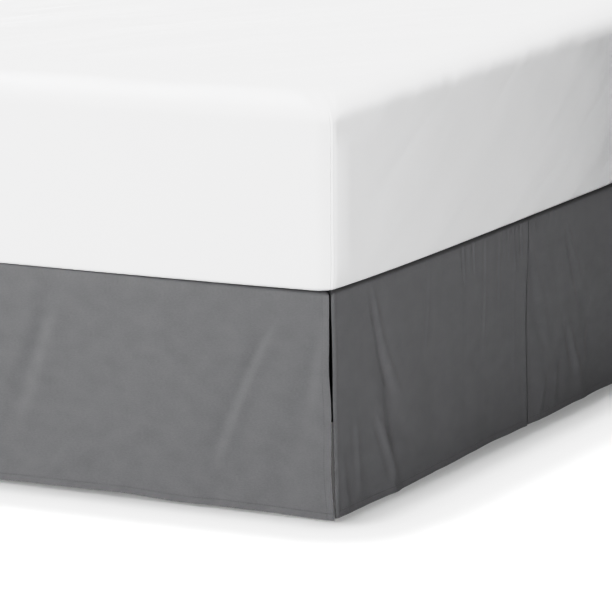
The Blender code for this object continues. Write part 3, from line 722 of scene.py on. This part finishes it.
def fold_depth(drop, along, height):
    """How far the soft folds and the gathers under the seam push the cloth out."""
    total = np.zeros(np.broadcast(along, height).shape)
    for fold in drop.folds:
        share, middle = fold_line(fold, height)
        fade = smoothstep(share * 4 + 1) * smoothstep((1 - share) * 2)
        across = along - middle
        across = np.where(across < 0, across / fold.left, across / fold.right)
        total += fold.depth * fade / (1 + across * across) ** 2
    for crease in drop.creases:
        share, middle = fold_line(crease, height)
        fade = smoothstep(share * 4) * smoothstep((1 - share) * 4)
        width = crease.wide + (crease.thin - crease.wide) * np.clip(share, 0.0, 1.0)
        across = (along - middle) / width
        total += crease.rise * fade * across * np.exp(-across * across)
    for pucker in drop.puckers:
        below = TURN_HEIGHT - height
        fade = smoothstep(1 - below / pucker.reach)
        across = (along - pucker.at - pucker.lean * below) / (pucker.width * (1 + below * 12))
        total += pucker.depth * fade * np.exp(-across * across)
    return total


def mitre_shift(drop, along, turned_in):
    """Pull the turned-in edge back from the corners, where two drops meet on a diagonal."""
    shift = np.zeros(np.broadcast(along, turned_in).shape)
    if drop.left.mitred:
        shift += turned_in * smoothstep(1 - (along - drop.left.at) / MITRE_REACH)
    if drop.right.mitred:
        shift -= turned_in * smoothstep(1 - (drop.right.at - along) / MITRE_REACH)
    return shift


def hang(drop, along, depth, height, angle, turned):
    """Place the whole grid of a drop. All layers at one place along it sway alike."""
    down = 1 - height / TURN_HEIGHT
    sway = down ** SWAY_POWER
    upright = np.clip(np.cos(angle), 0.0, 1.0) ** drop.crisp
    level = np.sin(angle) ** drop.crisp
    loose = smoothstep(down * 5) * 0.7 + 0.3
    wide_along, wide_height = np.broadcast_arrays(along, height)

    def waver(row):
        seed = drop.turn + 3.0 + row.seed
        return soft_noise(wide_along, wide_height, row.per_along, row.per_height, seed) * row.size

    out = between_rows(drop.seam, along, "out") * upright * (1 - sway)
    out = out + between_rows(drop.hem, along, "out") * sway
    out = out + fold_depth(drop, along, height) * upright
    wander = sum(waver(row) for row in WANDER)
    hem_ripple = waver(HEM_RIPPLE) * smoothstep(1 - height / HEM_RIPPLE_HEIGHT)
    out = out + (wander * loose + hem_ripple) * upright
    aside = between_rows(drop.hem, along, "aside") * down ** ASIDE_POWER
    for nudge in drop.nudges:
        far = ((along - nudge.at) / nudge.wide) ** 2 + ((height - nudge.height) / nudge.tall) ** 2
        aside = aside + nudge.aside * np.exp(-far)
        out = out + nudge.out * np.exp(-far) * upright
    lift = (HEM_CLEARANCE + between_rows(drop.hem, along, "lift")) * down
    lift = lift + waver(HEM_WANDER) * down ** 4
    reach = TURN_RADIUS - depth
    inset = TURN_RADIUS - reach * upright + turned
    turned_in = TURN_RADIUS * (1 - upright) + turned
    x = along + aside + mitre_shift(drop, along, turned_in)
    z = height + lift + reach * level
    return x, inset - out, z


def deselect_all():
    """Nothing selected and nothing active, so that an operator acts on the new piece only."""
    if bpy.context.object and bpy.context.object.mode != "OBJECT":
        bpy.ops.object.mode_set(mode="OBJECT")
    bpy.ops.object.select_all(action="DESELECT")
    bpy.context.view_layer.objects.active = None


def pick(piece):
    """Select one piece and make it active."""
    deselect_all()
    piece.select_set(True)
    bpy.context.view_layer.objects.active = piece


def grid_faces(rows, columns, closed=False):
    """Quads of a grid whose rows run up and whose columns run along."""
    across = columns if closed else columns - 1
    low = np.arange(rows - 1)[:, None] * columns
    here = np.arange(across)[None, :]
    after = (here + 1) % columns
    quads = np.stack([low + here, low + after, low + columns + after, low + columns + here], -1)
    return quads.reshape(-1, 4)


def mesh_piece(name, points, faces, material, maps):
    """One object from arrays of points and faces, with its UV maps given per point."""
    mesh = bpy.data.meshes.new(name)
    mesh.from_pydata(points.tolist(), [], [tuple(face) for face in faces])
    corners = np.empty(len(mesh.loops), int)
    mesh.loops.foreach_get("vertex_index", corners)
    for layer, values in maps.items():
        target = mesh.uv_layers.new(name=layer)
        target.data.foreach_set("uv", values[corners].astype(np.float32).ravel())
    mesh.materials.append(material)
    piece = bpy.data.objects.new(name, mesh)
    bpy.context.scene.collection.objects.link(piece)
    return piece


def apply_solidify(piece, thickness, group=None, thin=1.0):
    """Give a sheet its thickness, half to each side, thinner outside the named group."""
    pick(piece)
    modifier = piece.modifiers.new("cloth", "SOLIDIFY")
    modifier.thickness = thickness
    modifier.offset = 0.0
    modifier.use_even_offset = False
    modifier.use_quality_normals = True
    if group:
        modifier.vertex_group = group
        modifier.thickness_vertex_group = thin
    bpy.ops.object.modifier_apply(modifier=modifier.name)
    bpy.ops.object.shade_smooth_by_angle(angle=radians(50))


def distance_along(x, y):
    """Running length of a line of points."""
    return np.concatenate([[0.0], np.cumsum(np.hypot(np.diff(x), np.diff(y)))])


def hang_drop(drop, skirt, material):
    """One hanging cloth with its centre pleat, folds, gathers and stitched hems."""
    along, depth, folded = drop_plan(drop, skirt.column_pitch)
    height, angle, turned = drop_rows(skirt.row_pitch)
    x, y, z = hang(drop, along[None, :], depth[None, :], height, angle, turned)
    u = distance_along(along, depth)
    v = height + angle * TURN_RADIUS + turned
    side = np.minimum(u, u[-1] - u)
    turn = radians(drop.turn)
    points = np.stack([
        x * cos(turn) - y * sin(turn) + drop.location[0],
        x * sin(turn) + y * cos(turn) + drop.location[1] + BED_SHIFT,
        z], -1).reshape(-1, 3)
    rows, columns = z.shape
    flat_u = np.broadcast_to(u[None, :], z.shape)
    flat_v = np.broadcast_to(v, z.shape)
    flat_side = np.broadcast_to(side[None, :], z.shape)
    piece = mesh_piece(
        drop.name + "_cloth", points, grid_faces(rows, columns), material,
        {"cloth": np.stack([flat_u, flat_v], -1).reshape(-1, 2),
         "hem": np.stack([flat_side, flat_v], -1).reshape(-1, 2)})
    hemmed = np.minimum(flat_v, flat_side) < SIDE_HEM
    hemmed &= ~folded[None, :]
    group = piece.vertex_groups.new(name="hem")
    group.add(np.flatnonzero(hemmed.ravel()).tolist(), 1.0, "REPLACE")
    apply_solidify(piece, skirt.hem_cloth, "hem", skirt.cloth / skirt.hem_cloth)
    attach(piece, "root")
    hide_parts(drop.name)


class BEDSKIRT_OT_hang_drops(bpy.types.Operator):
    """Hang the foot, left and right drops from the edge of the base"""

    bl_idname = "bed_skirt.hang_drops"
    bl_label = "Hang Drops"

    def execute(self, context):
        skirt = context.scene.bed_skirt.skirt
        material = skirt_cloth(skirt)
        for drop in (FOOT_DROP, LEFT_DROP, RIGHT_DROP):
            hang_drop(drop, skirt, material)
        return {"FINISHED"}


class BEDSKIRT_OT_lay_deck(bpy.types.Operator):
    """Lay the flat panel that joins the drops, on the base and under the mattress"""

    bl_idname = "bed_skirt.lay_deck"
    bl_label = "Lay Deck"

    def execute(self, context):
        skirt = context.scene.bed_skirt.skirt
        edge = TURN_RADIUS + SEAM_RUN + DECK_GAP
        columns, rows = DECK_GRID
        x = np.linspace(-HALF_WIDTH + edge, HALF_WIDTH - edge, columns)
        y = np.linspace(-HALF_LENGTH + edge, HALF_LENGTH - DECK_HEAD_EDGE, rows)
        grid_x, grid_y = np.meshgrid(x, y)
        level = np.full_like(grid_x, BASE_TOP + TOUCH + SOLID_CLOTH / 2)
        points = np.stack([grid_x, grid_y + BED_SHIFT, level], -1).reshape(-1, 3)
        flat = np.stack([grid_x - x[0], grid_y - y[0]], -1).reshape(-1, 2)
        side = np.minimum(flat[:, 0], x[-1] - x[0] - flat[:, 0])
        material = bpy.data.materials["brushed_skirt_cloth"]
        piece = mesh_piece(
            "deck_cloth", points, grid_faces(rows, columns), material,
            {"cloth": flat, "hem": np.stack([side, y[-1] - y[0] - flat[:, 1]], -1)})
        apply_solidify(piece, skirt.cloth)
        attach(piece, "root")
        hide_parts("deck")
        return {"FINISHED"}


def mattress_outline(inset, corner, corner_steps, pitch):
    """One closed outline, its outward directions, and each point's distance to a corner seam."""
    half = np.array([BED_WIDTH / 2, BED_LENGTH / 2]) - MATTRESS_SETBACK - inset
    turn = np.linspace(0.0, pi / 2, corner_steps + 1)
    x, y, nx, ny, seam = [], [], [], [], []
    for quarter in range(4):
        start = quarter * pi / 2
        middle = (half - corner) * np.sign([cos(start + pi / 4), sin(start + pi / 4)])
        x += list(middle[0] + corner * np.cos(turn + start))
        y += list(middle[1] + corner * np.sin(turn + start))
        nx += list(np.cos(turn + start))
        ny += list(np.sin(turn + start))
        seam += list((turn - pi / 4) * corner - MATTRESS_SEAM_SHIFT)
        after = (half - corner) * np.sign([cos(start + pi * 3 / 4), sin(start + pi * 3 / 4)])
        direction = np.array([cos(start + pi / 2), sin(start + pi / 2)])
        length = np.hypot(*(after - middle))
        count = int(round((BED_LENGTH if quarter % 2 else BED_WIDTH) / pitch))
        share = np.linspace(0.0, 1.0, count + 1)[1:-1]
        bow = MATTRESS_BOW * (1 - (2 * share - 1) ** 4)
        begin = middle + direction * corner
        along = (after - middle) / length
        x += list(begin[0] + along[0] * length * share + direction[0] * bow)
        y += list(begin[1] + along[1] * length * share + direction[1] * bow)
        nx += [direction[0]] * len(share)
        ny += [direction[1]] * len(share)
        reach = np.minimum(share, 1 - share) * length + corner * pi / 4
        seam += list(np.where(share < 0.5, reach, -reach) - MATTRESS_SEAM_SHIFT)
    return [np.array(item) for item in (x, y, nx, ny, seam)]


def side_pull(z):
    """The sheet draws in over the last stretch above the base."""
    return SHEET_PULL * np.clip(1 - z / SHEET_PULL_HEIGHT, 0.0, 1.0) ** 2


def mattress_rings(stand_off, under, tuck, side_pitch, edge_steps, top_rings):
    """Rings of a cover round the mattress, from the edge of its tuck to its crown."""
    rings = [
        Ring(-under, inset, MATTRESS_CORNER, -pi / 2)
        for inset in np.linspace(tuck, MATTRESS_BOTTOM_EDGE + 0.012, 5)]
    for angle in np.linspace(-pi / 2, 0.0, 6):
        z = MATTRESS_BOTTOM_EDGE * (1 + sin(angle)) + under * sin(angle)
        inset = MATTRESS_BOTTOM_EDGE * (1 - cos(angle)) - stand_off * cos(angle)
        rings.append(Ring(z, inset, MATTRESS_CORNER, angle))
    sides = int(round((SHOULDER - MATTRESS_BOTTOM_EDGE) / side_pitch))
    for z in np.linspace(MATTRESS_BOTTOM_EDGE, SHOULDER, sides + 1)[1:]:
        rings.append(Ring(z, -stand_off, MATTRESS_CORNER, 0.0))
    for angle in np.linspace(0.0, pi / 2, edge_steps + 1)[1:]:
        inset = MATTRESS_TOP_EDGE * (1 - cos(angle))
        z = SHOULDER + (MATTRESS_TOP_EDGE + stand_off) * sin(angle)
        corner = MATTRESS_CORNER + inset * CORNER_OPENING
        rings.append(Ring(z, inset - stand_off * cos(angle), corner, angle))
    reach = (BED_WIDTH / 2 - 2 * MATTRESS_TOP_EDGE) * 0.8
    for share in np.linspace(0.0, 1.0, top_rings + 1)[1:] ** 1.35:
        z = MATTRESS_HEIGHT + stand_off - MATTRESS_CROWN * (1 - share) ** 2
        corner = MATTRESS_CORNER + MATTRESS_TOP_EDGE * CORNER_OPENING
        rings.append(Ring(z, MATTRESS_TOP_EDGE + reach * share, corner, pi / 2))
    return rings


def loft_rings(rings, corner_steps, pitch, relief):
    """Points, faces and flat places of a cover lofted through its rings."""
    levels = []
    for ring in rings:
        pulled = ring.inset + side_pull(ring.z)
        x, y, nx, ny, seam = mattress_outline(pulled, ring.corner, corner_steps, pitch)
        out = relief(ring, x, y, seam)
        levels.append(np.stack([
            x + nx * out * cos(ring.tilt),
            y + ny * out * cos(ring.tilt) + BED_SHIFT,
            MATTRESS_FLOOR + ring.z + out * sin(ring.tilt)], -1))
    grid = np.array(levels)
    rows, columns, _ = grid.shape
    shape_u = distance_along(grid[rows // 2, :, 0], grid[rows // 2, :, 1])
    steps = np.linalg.norm(np.diff(grid[:, columns // 8], axis=0), axis=1)
    shape_v = np.concatenate([[0.0], np.cumsum(steps)])
    flat = np.stack(np.meshgrid(shape_u, shape_v), -1).reshape(-1, 2)
    faces = [tuple(face) for face in grid_faces(rows, columns, closed=True)]
    return grid.reshape(-1, 3), faces, flat, rows, columns


def sheet_relief(ring, x, y, seam):
    """Corner seams with a ridge each side, gathers beside them, and soft unevenness."""
    if ring.tilt < -1.5:
        return np.zeros_like(x)
    level = np.full_like(x, ring.z)
    away = np.abs(seam)
    climb = smoothstep(1 - (ring.tilt - radians(24)) / radians(8))
    rise = ring.z if ring.tilt < pi / 2 else 1.0
    past = np.clip(seam - CORNER_FOLD, 0.0, None)
    tail = sum(bell(past, shape) for shape in FOLD_TAILS)
    fold = smoothstep(seam / CORNER_FOLD) * tail * FOLD_RISE
    fold = fold * smoothstep((FOLD_TOP - ring.z) / 0.03)
    ripple = sin(rise * tau / GATHER_PITCH) * bell(away, SEAM_GATHERS)
    stitched = (bell(away, SEAM_RIDGE) + bell(seam, SEAM_GROOVE) + ripple) * climb
    near_top = bell(ring.z, TOP_DIMPLE_BAND) * (ring.tilt < 1.5)
    soft = soft_noise(x + y * 0.3, level + y * 0.7, 6.0, 9.0, 5.0) * 0.0016
    soft += soft_noise(x - y * 0.8, level, 19.0, 22.0, 8.0) * 0.0004
    laid = soft_noise(*along_creases(x, y), 1.3, 8.0, 11.0) * 0.0026
    laid = laid * smoothstep(ring.tilt / radians(60) - 0.4)
    fade = smoothstep((ring.z + 0.004) / 0.05)
    return stitched + near_top * bell(away, TOP_DIMPLE) + laid + (soft + fold) * fade


class BEDSKIRT_OT_make_mattress(bpy.types.Operator):
    """Make the filled mattress that the sheet covers"""

    bl_idname = "bed_skirt.make_mattress"
    bl_label = "Make Mattress"

    def execute(self, context):
        sheet = context.scene.bed_skirt.sheet
        rings = mattress_rings(
            stand_off=-0.0018, under=-0.0006, tuck=0.30, side_pitch=0.024, edge_steps=6,
            top_rings=8)

        def relief(ring, x, y, seam):
            tape = 0.0012 * (abs(ring.z - 0.020) < 0.012) * (ring.tilt == 0.0)
            return np.full_like(x, tape)

        points, faces, flat, rows, columns = loft_rings(
            rings, corner_steps=10, pitch=0.030, relief=relief)
        faces.append(tuple(range(columns))[::-1])
        faces.append(tuple(range((rows - 1) * columns, rows * columns)))
        material = ticking("mattress_ticking", sheet.ticking, stripe=0.024)
        piece = mesh_piece("mattress_body", points, faces, material, {"cloth": flat})
        pick(piece)
        bpy.ops.object.shade_smooth_by_angle(angle=radians(50))
        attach(piece, "root")
        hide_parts("mattress")
        return {"FINISHED"}


class BEDSKIRT_OT_fit_sheet(bpy.types.Operator):
    """Stretch the fitted sheet over the mattress, with its corner seams and tuck"""

    bl_idname = "bed_skirt.fit_sheet"
    bl_label = "Fit Sheet"

    def execute(self, context):
        sheet = context.scene.bed_skirt.sheet
        rings = mattress_rings(
            sheet.stand_off, under=TOUCH, tuck=sheet.tuck, side_pitch=0.012, edge_steps=13,
            top_rings=26)
        points, faces, flat, rows, columns = loft_rings(
            rings, corner_steps=40, pitch=0.020, relief=sheet_relief)
        faces.append(tuple(range((rows - 1) * columns, rows * columns)))
        piece = mesh_piece(
            "fitted_sheet", points, faces, sheet_cotton(sheet), {"cloth": flat})
        apply_solidify(piece, sheet.cloth)
        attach(piece, "root")
        return {"FINISHED"}


def select_only(piece, kind, wanted):
    """In edit mode, select just the edges or faces of a piece that pass a test."""
    bpy.ops.object.mode_set(mode="OBJECT")
    bpy.context.tool_settings.mesh_select_mode = (False, kind == "edges", kind == "polygons")
    for item in (*piece.data.vertices, *piece.data.edges, *piece.data.polygons):
        item.select = False
    for item in getattr(piece.data, kind):
        item.select = bool(wanted(item))
    bpy.ops.object.mode_set(mode="EDIT")


def select_faces(piece, wanted):
    """Select the faces whose middle and normal pass a test."""
    select_only(piece, "polygons", lambda face: wanted(face.center, face.normal))


def select_edges(piece, wanted):
    """Select the edges whose two ends pass a test."""
    points = piece.data.vertices
    select_only(piece, "edges", lambda edge: wanted(*(points[end].co for end in edge.vertices)))


def cut(height):
    """Slice the whole mesh level at one height."""
    bpy.ops.mesh.select_all(action="SELECT")
    bpy.ops.mesh.bisect(plane_co=(0.0, 0.0, height), plane_no=(0.0, 0.0, 1.0))


def finish_piece(piece, name, angle):
    """Name a hand-made piece, put its place in its mesh and shade it."""
    bpy.ops.object.mode_set(mode="OBJECT")
    piece.name = name
    piece.data.name = name
    pick(piece)
    bpy.ops.object.transform_apply(location=True, rotation=True, scale=True)
    bpy.ops.object.shade_smooth_by_angle(angle=radians(angle))
    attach(piece, "root")


class BEDSKIRT_OT_cover_base(bpy.types.Operator):
    """Make the base: woven cover, tape edges and the dust cover under it"""

    bl_idname = "bed_skirt.cover_base"
    bl_label = "Cover Base"

    def execute(self, context):
        base = context.scene.bed_skirt.base
        low, high = (Vector(corner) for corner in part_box("bed_base"))
        middle = (low + high) / 2
        deselect_all()
        bpy.ops.mesh.primitive_cube_add(size=1.0, location=middle, scale=high - low)
        piece = bpy.context.object
        bpy.ops.object.transform_apply(location=True, rotation=True, scale=True)
        select_edges(piece, lambda start, end: abs(start.z - end.z) > 0.1)
        bpy.ops.mesh.bevel(offset=BASE_CORNER, segments=12, affect="EDGES")
        select_edges(piece, lambda start, end: min(start.z, end.z) > high.z - 0.001)
        bpy.ops.mesh.bevel(offset=BASE_TOP_EDGE, segments=8, affect="EDGES")
        select_edges(piece, lambda start, end: max(start.z, end.z) < low.z + 0.001)
        bpy.ops.mesh.bevel(offset=BASE_LOW_EDGE, segments=4, affect="EDGES")
        tape_low = low.z + TAPE_FROM_UNDER
        tape_high = high.z - TAPE_FROM_TOP - base.tape
        for height in (tape_low, tape_low + base.tape, tape_high, tape_high + base.tape):
            cut(height)
        for edge in (tape_low, tape_high):
            select_faces(piece, lambda place, normal: (
                edge < place.z < edge + base.tape and abs(normal.z) < 0.3))
            bpy.ops.mesh.inset(thickness=TAPE_EDGE, depth=TAPE_RISE)
        select_faces(piece, lambda place, normal: normal.z < -0.99)
        bpy.ops.mesh.inset(thickness=DUST_COVER_HEM)
        bpy.ops.mesh.inset(thickness=0.0006, depth=0.0004)
        covered = ticking("base_ticking", base.cover, stripe=0.036)
        dust = ticking("dust_cover_cloth", base.dust_cover, stripe=0.006)
        bpy.ops.object.mode_set(mode="OBJECT")
        piece.data.materials.append(covered)
        piece.data.materials.append(dust)
        edge = DUST_COVER_EDGE
        for face in piece.data.polygons:
            inside = low.x + edge < face.center.x < high.x - edge
            inside = inside and low.y + edge < face.center.y < high.y - edge
            face.material_index = int(face.normal.z < -0.9 and inside)
        finish_piece(piece, "covered_base", 40)
        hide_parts("bed_base")
        return {"FINISHED"}


class BEDSKIRT_OT_turn_legs(bpy.types.Operator):
    """Turn one tapered leg with a collar and a glide, and copy it under the base"""

    bl_idname = "bed_skirt.turn_legs"
    bl_label = "Turn Legs"

    def execute(self, context):
        base = context.scene.bed_skirt.base
        material = leg_paint(base)
        first = None
        for node in sorted(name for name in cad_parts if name.startswith("leg_")):
            low, high = (Vector(corner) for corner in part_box(node))
            middle = (low + high) / 2
            if first is None:
                first = self.turn_leg(middle, low.z, high.z, base.leg_sides, material)
                first_place = middle
                leg = first
            else:
                leg = first.copy()
                leg.data = first.data.copy()
                bpy.context.scene.collection.objects.link(leg)
                leg.location = middle - first_place
            finish_piece(leg, node + "_turned", 35)
            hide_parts(node)
        return {"FINISHED"}

    @staticmethod
    def turn_leg(middle, floor, top, sides, material):
        deselect_all()
        place = (middle.x, middle.y, (floor + top) / 2)
        bpy.ops.mesh.primitive_cone_add(
            vertices=sides, radius1=LEG_RADIUS[0], radius2=LEG_RADIUS[1], depth=top - floor,
            location=place)
        leg = bpy.context.object
        bpy.ops.object.transform_apply(location=True, rotation=True, scale=True)
        bpy.ops.object.mode_set(mode="EDIT")
        foot = [floor + height for height in LEG_FOOT_GROOVE]
        head = [top - height for height in LEG_TOP_GROOVE]
        for height in (*foot, *head):
            cut(height)
        select_faces(leg, lambda spot, normal: (
            abs(normal.z) < 0.5 and (foot[0] < spot.z < foot[1] or head[0] < spot.z < head[1])))
        bpy.ops.mesh.extrude_region_shrink_fatten(
            TRANSFORM_OT_shrink_fatten={"value": -LEG_GROOVE_DEPTH})
        ends = (floor, top)
        select_edges(leg, lambda start, end: any(
            abs(start.z - end_z) < 1e-4 and abs(end.z - end_z) < 1e-4 for end_z in ends))
        bpy.ops.mesh.bevel(offset=LEG_EDGE, segments=3, affect="EDGES")
        bpy.ops.object.mode_set(mode="OBJECT")
        leg.data.materials.append(material)
        return leg


def aim(place, target):
    """The turn that points an object's -Z at a target."""
    return (Vector(target) - Vector(place)).to_track_quat("-Z", "Y").to_euler()


def add_light(light):
    """One soft light, unseen by the camera."""
    bpy.ops.object.light_add(
        type=light.kind, location=light.place, rotation=aim(light.place, light.aim))
    lamp = bpy.context.object
    lamp.name = light.name
    lamp.data.energy = light.power
    lamp.visible_camera = False
    if light.kind == "AREA":
        lamp.data.shape = "RECTANGLE"
        lamp.data.size, lamp.data.size_y = light.size
        lamp.data.spread = radians(light.spread)
    return lamp


def light_surround(strength):
    """A dim even surround that the camera sees as plain white."""
    world = bpy.data.worlds.new("studio_surround")
    world.use_nodes = True
    bpy.context.scene.world = world
    tree = world.node_tree
    link = tree.links.new
    place = tree.nodes.new("ShaderNodeTexCoord")
    parts = tree.nodes.new("ShaderNodeSeparateXYZ")
    rise = tree.nodes.new("ShaderNodeMapRange")
    limits = {"From Min": -0.05, "From Max": 0.05, "To Min": BOUNCE, "To Max": strength}
    for name, value in limits.items():
        rise.inputs[name].default_value = value
    dim = tree.nodes["Background"]
    dim.inputs["Color"].default_value = (1.0, 1.0, 1.0, 1.0)
    link(place.outputs["Generated"], parts.inputs[0])
    link(parts.outputs["Z"], rise.inputs["Value"])
    link(rise.outputs[0], dim.inputs["Strength"])
    seen = tree.nodes.new("ShaderNodeBackground")
    seen.inputs["Color"].default_value = (1.0, 1.0, 1.0, 1.0)
    seen.inputs["Strength"].default_value = 1.1
    rays = tree.nodes.new("ShaderNodeLightPath")
    mix = tree.nodes.new("ShaderNodeMixShader")
    link(rays.outputs["Is Camera Ray"], mix.inputs[0])
    link(dim.outputs[0], mix.inputs[1])
    link(seen.outputs[0], mix.inputs[2])
    link(mix.outputs[0], tree.nodes["World Output"].inputs["Surface"])


def set_tones(view):
    """A photographic tone curve over the plain display transform."""
    view.view_transform = "Standard"
    view.use_curve_mapping = True
    curve = view.curve_mapping.curves[3]
    curve.points[0].location = TONES[0]
    curve.points[-1].location = TONES[-1]
    for tone_in, tone_out in TONES[1:-1]:
        curve.points.new(tone_in, tone_out)
    view.curve_mapping.update()


def place_camera(stage):
    """The camera, from its heading, dip and roll."""
    heading, dip, roll = stage.camera_heading, stage.camera_dip, stage.camera_roll
    forward = Vector((cos(heading) * cos(dip), sin(heading) * cos(dip), -sin(dip)))
    right = Vector((sin(heading), -cos(heading), 0.0))
    up = right.cross(forward)
    level = cos(roll) * right + sin(roll) * up
    upright = cos(roll) * up - sin(roll) * right
    bpy.ops.object.camera_add(location=stage.camera_place)
    camera = bpy.context.object
    camera.name = "studio_camera"
    camera.rotation_euler = Matrix((level, upright, -forward)).transposed().to_euler()
    camera.data.lens = stage.lens
    camera.data.sensor_width = 36.0
    camera.data.clip_end = 200.0
    bpy.context.scene.camera = camera


class BEDSKIRT_OT_set_stage(bpy.types.Operator):
    """Lay the studio floor and set the lights and the camera"""

    bl_idname = "bed_skirt.set_stage"
    bl_label = "Set Stage"

    def execute(self, context):
        stage = context.scene.bed_skirt.stage
        deselect_all()
        bpy.ops.mesh.primitive_plane_add(size=stage.floor_size, location=(0.0, 0.0, -FLOOR_SINK))
        floor = bpy.context.object
        bpy.ops.object.transform_apply(location=True, rotation=True, scale=True)
        floor.name = "studio_floor"
        floor.data.materials.append(plain_stage(stage.floor_colour))
        floor.visible_diffuse = False
        deselect_all()
        for light in LIGHTS:
            lamp = add_light(light)
            if light.kind == "SUN":
                lamp.data.angle = stage.overhead_spread
        light_surround(stage.surround)
        place_camera(stage)
        set_tones(context.scene.view_settings)
        return {"FINISHED"}


class BEDSKIRT_PT_panel(bpy.types.Panel):
    """The bed skirt's settings and steps"""

    bl_idname = "BEDSKIRT_PT_panel"
    bl_label = "Bed Skirt"
    bl_space_type = "VIEW_3D"
    bl_region_type = "UI"
    bl_category = "Bed Skirt"

    def draw(self, context):
        settings = context.scene.bed_skirt
        for name in ("skirt", "sheet", "base", "stage"):
            group = getattr(settings, name)
            box = self.layout.box()
            box.label(text=name.title())
            for key in group.__annotations__:
                box.prop(group, key)
        for operator in OPERATORS:
            self.layout.operator(operator.bl_idname)


OPERATORS = (
    BEDSKIRT_OT_hang_drops,
    BEDSKIRT_OT_lay_deck,
    BEDSKIRT_OT_make_mattress,
    BEDSKIRT_OT_fit_sheet,
    BEDSKIRT_OT_cover_base,
    BEDSKIRT_OT_turn_legs,
    BEDSKIRT_OT_set_stage,
)
CLASSES = (
    SkirtSettings, SheetSettings, BaseSettings, StageSettings, BedSkirtSettings,
    *OPERATORS, BEDSKIRT_PT_panel,
)


def register():
    for item in CLASSES:
        bpy.utils.register_class(item)
    bpy.types.Scene.bed_skirt = PointerProperty(type=BedSkirtSettings)


def unregister():
    del bpy.types.Scene.bed_skirt
    for item in reversed(CLASSES):
        bpy.utils.unregister_class(item)


def main():
    register()
    bpy.ops.bed_skirt.hang_drops()
    bpy.ops.bed_skirt.lay_deck()
    bpy.ops.bed_skirt.make_mattress()
    bpy.ops.bed_skirt.fit_sheet()
    bpy.ops.bed_skirt.cover_base()
    bpy.ops.bed_skirt.turn_legs()
    bpy.ops.bed_skirt.set_stage()


if __name__ == "__main__":
    main()
